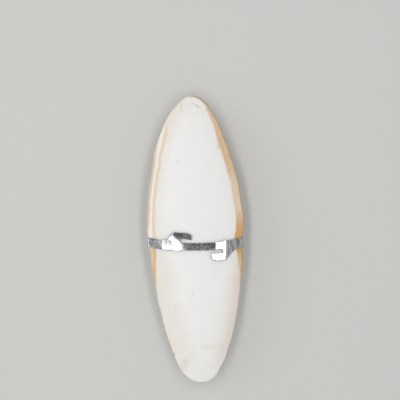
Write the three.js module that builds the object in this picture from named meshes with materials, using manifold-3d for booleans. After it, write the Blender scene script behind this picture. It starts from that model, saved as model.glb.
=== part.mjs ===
// A cuttlebone with the sheet-metal holder that hangs it on a cage.
// Millimetres, +Z up. The bone lies on its chalky belly with its hard back up.
// +Y points to the bone's rear end, and the origin is under the middle of the box at floor level.

import * as THREE from "three";
import Module from "manifold-3d";
import { ParametricGeometry } from "three/addons/geometries/ParametricGeometry.js";
import { mergeVertices } from "three/addons/utils/BufferGeometryUtils.js";

const wasm = await Module();
wasm.setup();

// Bone: outline seen from above
const LENGTH = 214.6;
const HALF_WIDTH = 36.2;
const WIDEST_AT = 0.065; // share of the half length, towards the rear
const REAR_TAPER = { bend: 1.7, blunt: 0.5 };
const FRONT_TAPER = { bend: 1.32, blunt: 0.42 };

// Bone: outline seen from the side
const RIM_HEIGHT = 15.6;
const RIM_THICKNESS = 1.4;
const REAR_DROOP = 3.4;
const FRONT_DROOP = 2.6;
const DROOP_BEND = 2.2;
const CROWN = 6.3;
const CROWN_TAPER = { bend: 2.6, blunt: 0.75 };
const KEEL_AT = -0.27; // share of the half length where the belly is lowest
const REAR_KEEL_BEND = 1.6;
const FRONT_KEEL_BEND = 2.6;

// Bone: cross-section
const BELLY_SHARE = 0.9; // of the half width, the rest being the thin horny rim
const BELLY_BEND = 2.9;
const BELLY_FOOT = 1.25;

// Bone: where the right-hand rim falls short of an even oval, along from the middle
const DENTS = [
  { depth: 2, at: -3.4, reach: 8 }, // pressed in by the strip
  { depth: 1.3, at: 80, reach: 20 }, // the leaner rear shoulder
];

// Bone: facets
const AROUND = 44;
const ALONG = 64;
const TAUT_POINTS = 96; // round each section that the strip is drawn tight over

// Holder: the strip
const SHEET = 0.4;
const GAP = 0.3;
const STRIP_WIDTH = 7.2;
const STRIP_AT = -2.3; // along the bone, where the strip passes the rims
const STRIP_BOW = 3.1; // how far the front run sags towards the bone's front end
const STRIP_TURN = -1.87; // degrees that the whole holder is turned on the bone, seen from above
const FLAT_HALF = 10; // half length of the flat run under the belly
const FLAT_EASE = 1; // clear of the flat run's ends, before the next fold
const TAIL_END = -16; // where the tucked tail stops, left of the middle

// Holder: the front plate's folds, as places across the bone and drops below the flat neck
const PLATE_END = -25.9;
const TAB_GAP = 0.4; // between the tucked tail and the left tab's end
const LEFT_FOLD = -11;
const RIGHT_FOLD = 14;
const RIGHT_DIP = { x: 22, drop: 1.5 };
const NECK_LIFT = 0.4; // of the neck above the taut strip, which leaves room for a wire
const JOIN_AT = 28; // where the plate runs on as plain strip

// Holder: the front plate's outline, from the point that its two hooks turn about
const PLATE_CENTRE = 3.8;
const NECK_WIDTH = 5.8;
const NECK_FROM = 16.6;
const NECK_EASE = 1.5;
const LEFT_HOOK = { top: 10.2, shoulder: 20.6, foot: 26.9 };
const RIGHT_HOOK = { top: 10.9, shoulder: 17.6, foot: 25.4 };
const SHOULDER_EASE = 1;
const HOOK_TIP = 6.9;
const TIP = { throat: 4.5, lip: 2.2, brow: 4.2, round: 0.4 }; // how the finger's end is rounded
const SLOT_END = 15.6;
const SLOT_WIDTH = 2.6;
const SLOT_MOUTH = 2;
const OUTLINE_REACH = 45;
const BLANK_WIDTH = 33; // of the sheet that the plate is cut from
const CUTTER_HEIGHT = 40;
const CORNER_STEPS = 5;
const FINGER_ROOT = 1; // beyond the neck's edge, where a finger is free

/** Half width of the bone at a place s along it, from -1 at the front tip to 1 at the rear tip. */
function halfWidth(s) {
  const rear = s > WIDEST_AT;
  const taper = rear ? REAR_TAPER : FRONT_TAPER;
  const reach = rear ? 1 - WIDEST_AT : 1 + WIDEST_AT;
  const q = Math.min(1, Math.abs(s - WIDEST_AT) / reach);
  return HALF_WIDTH * (1 - q ** taper.bend) ** taper.blunt;
}

/** Height of the rim, which droops to both tips. */
function rimHeight(s) {
  const droop = s > 0 ? REAR_DROOP : FRONT_DROOP;
  return RIM_HEIGHT - droop * Math.abs(s) ** DROOP_BEND;
}

/** Height of the belly's lowest line, which meets the rim at both tips. */
function keelHeight(s) {
  const rear = s > KEEL_AT;
  const q = Math.abs(s - KEEL_AT) / (rear ? 1 - KEEL_AT : 1 + KEEL_AT);
  return (rear ? rimHeight(1) : rimHeight(-1)) * q ** (rear ? REAR_KEEL_BEND : FRONT_KEEL_BEND);
}

/** How high the hard back stands above the rim along the middle. */
function crownHeight(s) {
  return CROWN * (1 - Math.abs(s) ** CROWN_TAPER.bend) ** CROWN_TAPER.blunt;
}

/** How far the rim stands in from an even oval on the right. */
function dented(s) {
  const depth = (dent) => dent.depth * Math.exp(-((((s * LENGTH) / 2 - dent.at) / dent.reach) ** 2));
  return DENTS.reduce((sum, dent) => sum + depth(dent), 0);
}

/** A point of the bone's cross-section at s, turned by angle from the right-hand rim over the back. */
function sectionPoint(s, angle) {
  const u = Math.cos(angle);
  const wide = Math.max(0, halfWidth(s) - (u > 0 ? dented(s) : 0));
  const x = wide * u;
  const round = RIM_THICKNESS / 2;
  const inside = Math.min(wide - Math.abs(x), ((1 - Math.abs(s)) * LENGTH) / 2, round);
  const rim = Math.sqrt(Math.max(0, round ** 2 - (round - inside) ** 2));
  if (Math.sin(angle) >= 0) {
    return { x, z: rimHeight(s) + rim + crownHeight(s) * (1 - u * u) };
  }
  const across = Math.min(1, Math.abs(u) / BELLY_SHARE);
  const depth = Math.max(0, rimHeight(s) - keelHeight(s) - rim);
  return { x, z: rimHeight(s) - rim - depth * (1 - across ** BELLY_BEND) ** BELLY_FOOT };
}

/** One closed body with only position left, its doubles merged and its flat triangles dropped. */
function closed(geometry) {
  const bare = geometry.clone();
  bare.deleteAttribute("normal");
  bare.deleteAttribute("uv");
  const merged = mergeVertices(bare, 1e-4);
  const index = merged.index.array;
  const kept = [];
  for (let i = 0; i < index.length; i += 3) {
    const [a, b, c] = index.slice(i, i + 3);
    if (a !== b && b !== c && c !== a) kept.push(a, b, c);
  }
  merged.setIndex(kept);
  return merged;
}

/** The bone: its sections run from the front tip to the rear tip, closer together at the tips. */
function boneGeometry() {
  const place = (around, along, target) => {
    const s = -Math.cos(Math.PI * along);
    const p = sectionPoint(s, 2 * Math.PI * (1 - (around % 1)));
    target.set(p.x, (s * LENGTH) / 2, p.z);
  };
  return closed(new ParametricGeometry(place, AROUND, ALONG));
}

/** The convex outline round a set of points in x and z, anticlockwise. */
function hull(points) {
  const sorted = [...points].sort((a, b) => a.x - b.x || a.y - b.y);
  const half = (list) => {
    const chain = [];
    for (const p of list) {
      while (chain.length > 1 && turn(chain.at(-2), chain.at(-1), p) <= 1e-6) chain.pop();
      chain.push(p);
    }
    return chain.slice(0, -1);
  };
  return [...half(sorted), ...half(sorted.reverse())];
}

function turn(a, b, c) {
  return (b.x - a.x) * (c.y - a.y) - (b.y - a.y) * (c.x - a.x);
}

/** A line moved sideways by a distance, to its left as it runs. */
function beside(line, distance) {
  return line.map((p, i) => {
    const before = line[Math.max(0, i - 1)];
    const after = line[Math.min(line.length - 1, i + 1)];
    const along = after.clone().sub(before).normalize();
    return new THREE.Vector2(p.x - along.y * distance, p.y + along.x * distance);
  });
}

/** The bone's outline where the strip goes round it, as the strip lies on it when it is taut. */
function tautLine() {
  const points = [];
  for (const y of [STRIP_AT - STRIP_BOW - STRIP_WIDTH / 2, STRIP_AT, STRIP_AT + STRIP_WIDTH / 2]) {
    for (let i = 0; i < TAUT_POINTS; i += 1) {
      const p = sectionPoint((2 * y) / LENGTH, (2 * Math.PI * i) / TAUT_POINTS);
      points.push(new THREE.Vector2(p.x, p.z));
    }
  }
  return hull(points);
}

/** The strip's inner side along the front plate: a left tab on the tucked tail, a flat neck, a right tab. */
function plateLine(taut) {
  const top = Math.max(...taut.map((p) => p.y)) + GAP + NECK_LIFT;
  const s = (2 * STRIP_AT) / LENGTH;
  const back = sectionPoint(s, Math.acos(PLATE_END / halfWidth(s)));
  return [
    new THREE.Vector2(PLATE_END, back.z + GAP + SHEET + TAB_GAP),
    new THREE.Vector2(LEFT_FOLD, top),
    new THREE.Vector2(RIGHT_FOLD, top),
    new THREE.Vector2(RIGHT_DIP.x, top - RIGHT_DIP.drop),
  ];
}

/** The strip's inner side: along the front plate, then clockwise round the bone to the tucked tail. */
function stripLine() {
  const taut = tautLine();
  const loop = beside([taut.at(-1), ...taut, taut[0]], -GAP).slice(1, -1);
  const turned = (p) => Math.atan2(p.y - RIM_HEIGHT, p.x);
  const ordered = loop.sort((a, b) => turned(b) - turned(a));
  const over = ordered.filter((p) => p.y > RIM_HEIGHT);
  const under = ordered.filter((p) => p.y <= RIM_HEIGHT && Math.abs(p.x) > FLAT_HALF + FLAT_EASE);
  return [
    ...plateLine(taut),
    ...over.filter((p) => p.x > JOIN_AT),
    ...under.filter((p) => p.x > 0),
    new THREE.Vector2(FLAT_HALF, SHEET),
    new THREE.Vector2(-FLAT_HALF, SHEET),
    ...under.filter((p) => p.x < 0),
    ...over.filter((p) => p.x < TAIL_END),
  ];
}

/** A run of sheet between its inner and outer lines, so wide along the bone. */
function sheetGeometry(inner, outer, width) {
  const shape = new THREE.Shape([...inner, ...[...outer].reverse()]);
  const geometry = new THREE.ExtrudeGeometry(shape, { depth: width, bevelEnabled: false, steps: 1 });
  geometry.rotateX(Math.PI / 2);
  geometry.translate(0, width / 2, 0);
  return closed(geometry);
}

/** One long side of the front plate's outline: the neck's edge, the slot, the hook and its sloping foot. */
function drawSide(shape, hook, sign) {
  const edge = -STRIP_WIDTH / 2;
  const neck = -NECK_WIDTH / 2;
  const round = SLOT_WIDTH / 2;
  const finger = neck - SLOT_WIDTH;
  const lip = neck - SLOT_MOUTH;
  const top = -hook.top;
  const line = (x, y) => shape.lineTo(sign * x, sign * y);
  const bend = (cx, cy, x, y) => shape.quadraticCurveTo(sign * cx, sign * cy, sign * x, sign * y);
  const start = sign * (Math.PI / 2);
  line(-OUTLINE_REACH, edge);
  line(-NECK_FROM, edge);
  bend(-NECK_FROM + NECK_EASE / 2, edge, -NECK_FROM + NECK_EASE, neck);
  line(SLOT_END - round, neck);
  shape.absarc(sign * (SLOT_END - round), sign * (neck - round), round, start, start - Math.PI, true);
  bend(HOOK_TIP + TIP.throat, finger, HOOK_TIP + TIP.lip, lip);
  bend(HOOK_TIP, lip + TIP.round, HOOK_TIP, lip - TIP.lip);
  bend(HOOK_TIP, top + TIP.round, HOOK_TIP + TIP.brow, top);
  line(hook.shoulder - SHOULDER_EASE, top);
  bend(hook.shoulder, top, hook.shoulder + SHOULDER_EASE, top + SHOULDER_EASE);
  line(hook.foot, edge);
  line(OUTLINE_REACH, edge);
}

/** The front plate's outline as a tall block, to cut the folded sheet with. */
function plateCutter() {
  const shape = new THREE.Shape();
  shape.moveTo(-OUTLINE_REACH, -NECK_WIDTH / 2);
  drawSide(shape, RIGHT_HOOK, 1);
  drawSide(shape, LEFT_HOOK, -1);
  const options = { depth: CUTTER_HEIGHT, bevelEnabled: false, curveSegments: CORNER_STEPS };
  const geometry = new THREE.ExtrudeGeometry(shape, options);
  geometry.translate(PLATE_CENTRE, 0, 0);
  return closed(geometry);
}

/** A closed mesh as a solid that can be joined and cut. */
function solid(geometry) {
  const vertProperties = new Float32Array(geometry.attributes.position.array);
  const triVerts = new Uint32Array(geometry.index.array);
  return new wasm.Manifold(new wasm.Mesh({ numProp: 3, vertProperties, triVerts }));
}

/** A solid's surface as a three.js geometry. */
function surface(body) {
  const mesh = body.getMesh();
  const geometry = new THREE.BufferGeometry();
  geometry.setAttribute("position", new THREE.Float32BufferAttribute(mesh.vertProperties, 3));
  geometry.setIndex(Array.from(mesh.triVerts));
  return geometry;
}

/**
 * Settles the holder in its place. The front run sags towards the bone's front end, most of all in the
 * middle, and the right hook's finger stays in the plane of its tab, so that its tip stands off the bone.
 * The whole holder is turned a little.
 */
function settle(geometry) {
  const at = geometry.attributes.position;
  const rise = RIGHT_DIP.drop / (RIGHT_DIP.x - RIGHT_FOLD);
  for (let i = 0; i < at.count; i += 1) {
    const [x, y, z] = [at.getX(i), at.getY(i), at.getZ(i)];
    const over = z > RIM_HEIGHT;
    const sag = over ? STRIP_BOW * Math.max(0, 1 - (x / HALF_WIDTH) ** 2) : 0;
    const free = over && y < -NECK_WIDTH / 2 - FINGER_ROOT && x > PLATE_CENTRE && x < RIGHT_FOLD;
    at.setXYZ(i, x, y - sag, free ? z + rise * (RIGHT_FOLD - x) : z);
  }
  geometry.rotateZ(THREE.MathUtils.degToRad(STRIP_TURN));
  return geometry.translate(0, STRIP_AT, 0);
}

/** The holder: a folded plate cut to the hooks' outline, running on as plain strip round the bone. */
function holderGeometry() {
  const inner = stripLine();
  const outer = beside(inner, SHEET);
  const join = inner.findIndex((p) => p.x > JOIN_AT);
  const wide = sheetGeometry(inner.slice(0, join + 2), outer.slice(0, join + 2), BLANK_WIDTH);
  const strip = sheetGeometry(inner.slice(join), outer.slice(join), STRIP_WIDTH);
  const plate = solid(wide).intersect(solid(plateCutter()));
  return closed(settle(surface(plate.add(solid(strip)))));
}

const chalk = new THREE.MeshStandardMaterial({ color: 0xf0ece4, roughness: 0.85, metalness: 0 });
const tinplate = new THREE.MeshStandardMaterial({ color: 0xb4b6b8, roughness: 0.3, metalness: 1 });

const bone = new THREE.Mesh(boneGeometry(), chalk);
bone.name = "cuttlebone";

const holder = new THREE.Mesh(holderGeometry(), tinplate);
holder.name = "holder";

const part = new THREE.Group();
part.add(bone, holder);

export default part;
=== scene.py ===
"""A cuttlebone and the sheet-metal holder that hangs it on a cage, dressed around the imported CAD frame.

Shapes are worked out in millimetres and put into the meshes in metres, in the frame's own axes:
+Z up out of the hard back, +Y along the bone to its rear end, the origin on the table under the middle.
"""

import logging
import math
from dataclasses import dataclass, field
from enum import Enum

import bpy
import numpy as np
from mathutils import Matrix, Vector


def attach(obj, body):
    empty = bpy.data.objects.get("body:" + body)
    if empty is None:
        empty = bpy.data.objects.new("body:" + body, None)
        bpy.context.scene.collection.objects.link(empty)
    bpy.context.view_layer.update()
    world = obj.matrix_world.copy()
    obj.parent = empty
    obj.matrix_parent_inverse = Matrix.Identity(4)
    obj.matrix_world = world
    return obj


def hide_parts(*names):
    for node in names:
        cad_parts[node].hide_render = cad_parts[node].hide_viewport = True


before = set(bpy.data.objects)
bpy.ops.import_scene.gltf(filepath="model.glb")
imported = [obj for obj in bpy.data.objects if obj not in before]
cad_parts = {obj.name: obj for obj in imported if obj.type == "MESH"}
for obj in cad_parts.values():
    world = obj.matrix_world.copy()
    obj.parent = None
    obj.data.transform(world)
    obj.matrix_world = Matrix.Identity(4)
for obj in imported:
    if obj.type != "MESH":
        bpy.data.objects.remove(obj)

LOG = logging.getLogger("cuttlebone")
MM = 0.001
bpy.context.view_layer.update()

TINY = 1e-9

Array = np.ndarray
Colour = tuple[float, float, float]
Span = tuple[float, float]


class Side(Enum):
    """The two faces of the bone, by the value of its "back" attribute."""

    BELLY = 0.0
    BACK = 1.0


# ---------------------------------------------------------------------------------------------------------
# Small tools for arrays and meshes
# ---------------------------------------------------------------------------------------------------------


def linear(red: int, green: int, blue: int) -> Colour:
    """A display colour, 0 to 255 a channel, as the linear colour that a shader takes.

    Args:
        red: Red channel.
        green: Green channel.
        blue: Blue channel.

    Returns:
        The three linear channels, 0 to 1.
    """
    shares = np.array([red, green, blue]) / 255.0
    curve = np.where(shares <= 0.04045, shares / 12.92, ((shares + 0.055) / 1.055) ** 2.4)
    return tuple(float(c) for c in curve)


def ease(value: Array, low: float, high: float) -> Array:
    """A smooth step: 0 below low, 1 above high, and 3t^2 - 2t^3 of the share t between them."""
    share = np.clip((value - low) / (high - low), 0.0, 1.0)
    return share * share * (3.0 - 2.0 * share)


def hump(value: Array, centre: float, spread: float) -> Array:
    """A bell: e to minus the square of the distance from centre in spreads."""
    return np.exp(-(((value - centre) / spread) ** 2))


def ripple(x: Array, y: Array, wavelength: float, seed: int, waves: int = 18) -> Array:
    """Smooth seeded unevenness over a plane, about -1 to 1.

    The sum of plane waves, each with its own direction, phase and a wavelength within about a third of the
    one asked for, divided by the root of their number.

    Args:
        x: First coordinate, in mm.
        y: Second coordinate, in mm.
        wavelength: Mean distance from crest to crest, in mm.
        seed: Seed of the directions and phases.
        waves: How many plane waves are added.

    Returns:
        The height at every point, the shape of x.
    """
    draw = np.random.default_rng(seed)
    turn = draw.uniform(0.0, 2.0 * math.pi, waves)
    phase = draw.uniform(0.0, 2.0 * math.pi, waves)
    rate = 2.0 * math.pi / (wavelength * draw.uniform(0.7, 1.4, waves))
    total = np.zeros(np.shape(x))
    for angle, start, speed in zip(turn, phase, rate):
        total = total + np.sin(speed * (x * math.cos(angle) + y * math.sin(angle)) + start)
    return total / math.sqrt(waves)


@dataclass(frozen=True)
class Wave:
    """One size of seeded unevenness: its wavelength and height in mm, and its seed."""

    length: float
    height: float
    seed: int

    def at(self, x: Array, y: Array) -> Array:
        """Its height over a plane."""
        return self.height * ripple(x, y, self.length, self.seed)


def in_scene(name: str, data: bpy.types.ID) -> bpy.types.Object:
    """A new object in the scene, at the origin.

    Args:
        name: Name of the object.
        data: Its mesh, lamp or lens.

    Returns:
        The object.
    """
    thing = bpy.data.objects.new(name, data)
    bpy.context.scene.collection.objects.link(thing)
    return thing


def make_piece(name: str, points: Array, faces: Array, attributes: dict[str, Array]) -> bpy.types.Object:
    """Puts a surface into a new object at the origin.

    Args:
        name: Name of the piece.
        points: Corners in mm, one row each.
        faces: Corner numbers, four to a row; a row whose last two are equal is a triangle.
        attributes: Values to keep at the corners, by name.

    Returns:
        The object, smooth-shaded.
    """
    mesh = bpy.data.meshes.new(name)
    rows = [tuple(dict.fromkeys(row)) for row in faces.tolist()]
    mesh.from_pydata((points * MM).tolist(), [], rows)
    mesh.polygons.foreach_set("use_smooth", np.ones(len(mesh.polygons), bool))
    for key, values in attributes.items():
        layer = mesh.attributes.new(key, "FLOAT", "POINT")
        layer.data.foreach_set("value", values.astype(np.float32))
    mesh.update()
    return in_scene(name, mesh)


# ---------------------------------------------------------------------------------------------------------
# Shader maths
# ---------------------------------------------------------------------------------------------------------


@dataclass(frozen=True)
class Wire:
    """An output socket whose operators add Math nodes to its tree."""

    graph: "Graph"
    socket: bpy.types.NodeSocket

    def __add__(self, other: "Wire | float") -> "Wire":
        """self + other."""
        return self.graph.math("ADD", self, other)

    def __radd__(self, other: float) -> "Wire":
        """other + self."""
        return self.graph.math("ADD", other, self)

    def __sub__(self, other: "Wire | float") -> "Wire":
        """self - other."""
        return self.graph.math("SUBTRACT", self, other)

    def __rsub__(self, other: float) -> "Wire":
        """other - self."""
        return self.graph.math("SUBTRACT", other, self)

    def __mul__(self, other: "Wire | float") -> "Wire":
        """self times other."""
        return self.graph.math("MULTIPLY", self, other)

    def __rmul__(self, other: float) -> "Wire":
        """other times self."""
        return self.graph.math("MULTIPLY", other, self)


class Graph:
    """The node tree of a material or a world."""

    def __init__(self, owner: bpy.types.Material | bpy.types.World) -> None:
        """Empties the owner's tree.

        Args:
            owner: What the tree belongs to.
        """
        owner.use_nodes = True
        self.tree = owner.node_tree
        self.tree.nodes.clear()

    def add(self, kind: str, settings: dict, inputs: dict) -> bpy.types.Node:
        """Adds any node.

        Args:
            kind: Type of the node.
            settings: Properties of the node, set before its sockets.
            inputs: Values or wires, by socket name or number.

        Returns:
            The node.
        """
        made = self.tree.nodes.new(kind)
        for key, value in settings.items():
            setattr(made, key, value)
        for key, value in inputs.items():
            if isinstance(value, Wire):
                self.tree.links.new(value.socket, made.inputs[key])
            else:
                made.inputs[key].default_value = value
        return made

    def node(self, kind: str, settings: dict, inputs: dict, output: int | str = 0) -> Wire:
        """Adds any node and hands back one of its outputs, by name or number."""
        return Wire(self, self.add(kind, settings, inputs).outputs[output])

    def math(self, operation: str, first: Wire | float, second: Wire | float = 0.0) -> Wire:
        """A Math node on two numbers."""
        return self.node("ShaderNodeMath", {"operation": operation}, {0: first, 1: second})

    def step(self, value: Wire, low: float, high: float) -> Wire:
        """A smooth step of a number: 0 below low, 1 above high."""
        ends = {"Value": value, "From Min": low, "From Max": high}
        return self.node("ShaderNodeMapRange", {"interpolation_type": "SMOOTHSTEP"}, ends)

    def between(self, value: Wire, start: Span, end: Span) -> Wire:
        """1 from the top of a smooth step up to the top of a smooth step down, and 0 outside."""
        return self.step(value, *start) * (1.0 - self.step(value, *end))

    def blend(self, share: Wire | float, first: Wire | Colour, second: Wire | Colour) -> Wire:
        """A mix of two colours: first where share is 0, second where it is 1."""
        ends = {0: share, 6: self.rgba(first), 7: self.rgba(second)}
        return self.node("ShaderNodeMix", {"data_type": "RGBA"}, ends, 2)

    @staticmethod
    def rgba(colour: Wire | Colour) -> Wire | tuple[float, float, float, float]:
        """A plain colour with its alpha; a wire stays as it is."""
        return colour if isinstance(colour, Wire) else (*colour, 1.0)

    def attribute(self, name: str) -> Wire:
        """A value kept at the piece's corners."""
        return self.node("ShaderNodeAttribute", {"attribute_name": name}, {}, "Fac")

    def millimetres(self) -> Wire:
        """Object coordinates in mm.

        Returns:
            The coordinates, as a vector.
        """
        place = self.node("ShaderNodeTexCoord", {}, {}, "Object")
        scaled = {0: place, "Scale": 1.0 / MM}
        return self.node("ShaderNodeVectorMath", {"operation": "SCALE"}, scaled)

    def axis(self, place: Wire, name: str) -> Wire:
        """One coordinate of a place: "X", "Y" or "Z"."""
        return self.node("ShaderNodeSeparateXYZ", {}, {0: place}, name)

    def stretched(self, place: Wire, stretch: tuple[float, float, float]) -> Wire:
        """Coordinates multiplied axis by axis."""
        ends = {"Vector": place, "Scale": stretch}
        return self.node("ShaderNodeMapping", {"vector_type": "POINT"}, ends)

    def noise(self, place: Wire, rate: float, detail: float = 3.0, rough: float = 0.5) -> Wire:
        """Cloudy noise about 0.5, with rate clouds to the mm."""
        ends = {"Vector": place, "Scale": rate, "Detail": detail, "Roughness": rough}
        return self.node("ShaderNodeTexNoise", {"noise_dimensions": "3D"}, ends, 0)

    def bump(self, height: Wire, strength: float, depth: float) -> Wire:
        """A normal raised by a height of 0 to 1, so many metres deep."""
        ends = {"Strength": strength, "Distance": depth, "Height": height}
        return self.node("ShaderNodeBump", {}, ends, "Normal")

    def finish(self, sockets: dict) -> None:
        """Ends a material in one shader with these sockets."""
        shader = self.node("ShaderNodeBsdfPrincipled", {}, sockets)
        self.add("ShaderNodeOutputMaterial", {}, {"Surface": shader})


# ---------------------------------------------------------------------------------------------------------
# The bone
# ---------------------------------------------------------------------------------------------------------


@dataclass(frozen=True)
class Bell:
    """A smooth rise and fall along the bone: its size, its middle and its reach, in mm."""

    size: float
    along: float
    reach: float

    def at(self, y: Array) -> Array:
        """Its size at a place along: the full one times a bell."""
        return self.size * hump(y, self.along, self.reach)


@dataclass(frozen=True)
class Notch:
    """A chip out of the bone's thin rim."""

    along: float
    right: bool
    depth: float
    spread: float


@dataclass(frozen=True)
class Stain:
    """A faint oval mark on the bone's back, its sizes in mm and its turn in degrees."""

    x: float
    y: float
    half_length: float
    half_width: float
    turn: float
    colour: Colour
    strength: float


@dataclass(frozen=True)
class BoneForm:
    """The bone's shape as formulas of s, from -1 at the front tip to 1 at the rear tip. Sizes in mm.

    The dents are where the right-hand rim falls short of an even oval.
    """

    length: float = 214.6
    half_width: float = 36.2
    widest_at: float = 0.065
    rear_bend: float = 1.7
    rear_blunt: float = 0.5
    front_bend: float = 1.32
    front_blunt: float = 0.42
    rim_height: float = 15.6
    rim_thickness: float = 1.4
    rear_droop: float = 3.4
    front_droop: float = 2.6
    droop_bend: float = 2.2
    crown: float = 6.3
    crown_bend: float = 2.6
    crown_blunt: float = 0.75
    keel_at: float = -0.27
    rear_keel_bend: float = 1.6
    front_keel_bend: float = 2.6
    belly_share: float = 0.9
    belly_bend: float = 2.9
    belly_foot: float = 1.25
    dents: tuple[Bell, ...] = (Bell(2.0, -3.4, 8.0), Bell(1.3, 80.0, 20.0))

    def width_at(self, s: Array) -> Array:
        """Half width: the widest times (1 - q^bend)^blunt, with q the share of the way to the tip.

        Args:
            s: Place along the bone.

        Returns:
            Half width in mm.
        """
        rear = s > self.widest_at
        q = np.abs(s - self.widest_at) / np.where(rear, 1 - self.widest_at, 1 + self.widest_at)
        bend = np.where(rear, self.rear_bend, self.front_bend)
        blunt = np.where(rear, self.rear_blunt, self.front_blunt)
        return self.half_width * (1.0 - np.clip(q, 0.0, 1.0) ** bend) ** blunt

    def dented(self, s: Array, right: Array) -> Array:
        """Half width, less the dents on the right side and never under 0.

        Args:
            s: Place along the bone.
            right: True on the right-hand side.

        Returns:
            Half width in mm.
        """
        y = s * self.length / 2
        depth = sum(dent.at(y) for dent in self.dents)
        return np.maximum(self.width_at(s) - right * depth, 0.0)

    def rim_at(self, s: Array) -> Array:
        """Height of the rim: it droops with a power of the distance from the middle.

        Args:
            s: Place along the bone.

        Returns:
            Height of the rim's middle, in mm.
        """
        droop = np.where(s > 0, self.rear_droop, self.front_droop)
        return self.rim_height - droop * np.abs(s) ** self.droop_bend

    def keel_height(self, s: Array) -> Array:
        """Height of the belly's lowest line: a power of the way from its lowest place to the tip's rim.

        Args:
            s: Place along the bone.

        Returns:
            Height in mm.
        """
        rear = s > self.keel_at
        q = np.abs(s - self.keel_at) / np.where(rear, 1 - self.keel_at, 1 + self.keel_at)
        top = self.rim_height - np.where(rear, self.rear_droop, self.front_droop)
        return top * q ** np.where(rear, self.rear_keel_bend, self.front_keel_bend)

    def crown_at(self, s: Array) -> Array:
        """Height of the back's middle over the rim: the crown times (1 - |s|^bend)^blunt."""
        return self.crown * (1.0 - np.clip(np.abs(s), 0.0, 1.0) ** self.crown_bend) ** self.crown_blunt

    def rim_half(self, s: Array, inside: Array) -> Array:
        """Half thickness of the rim so far inside the outline: a half circle that runs on level.

        Args:
            s: Place along the bone.
            inside: Distance in from the outline, in mm.

        Returns:
            Half thickness in mm.
        """
        radius = self.rim_thickness / 2
        reach = np.minimum(np.minimum(inside, (1.0 - np.abs(s)) * self.length / 2), radius)
        return np.sqrt(np.maximum(0.0, radius**2 - (radius - reach) ** 2))

    def back_height(self, s: Array, u: Array, inside: Array) -> Array:
        """Height of the back at the share u of the half width: rim plus crown times 1 - u^2."""
        return self.rim_at(s) + self.rim_half(s, inside) + self.crown_at(s) * (1.0 - u * u)

    def belly_height(self, s: Array, u: Array, inside: Array) -> Array:
        """Height of the belly: the rim less a bulge of (1 - |u/share|^bend)^foot times the keel's depth.

        Args:
            s: Place along the bone.
            u: Share of the half width, below 0 on the left.
            inside: Distance in from the outline, in mm.

        Returns:
            Height in mm.
        """
        rim = self.rim_half(s, inside)
        depth = np.maximum(0.0, self.rim_at(s) - self.keel_height(s) - rim)
        across = np.clip(np.abs(u) / self.belly_share, 0.0, 1.0)
        return self.rim_at(s) - rim - depth * (1.0 - across**self.belly_bend) ** self.belly_foot


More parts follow.
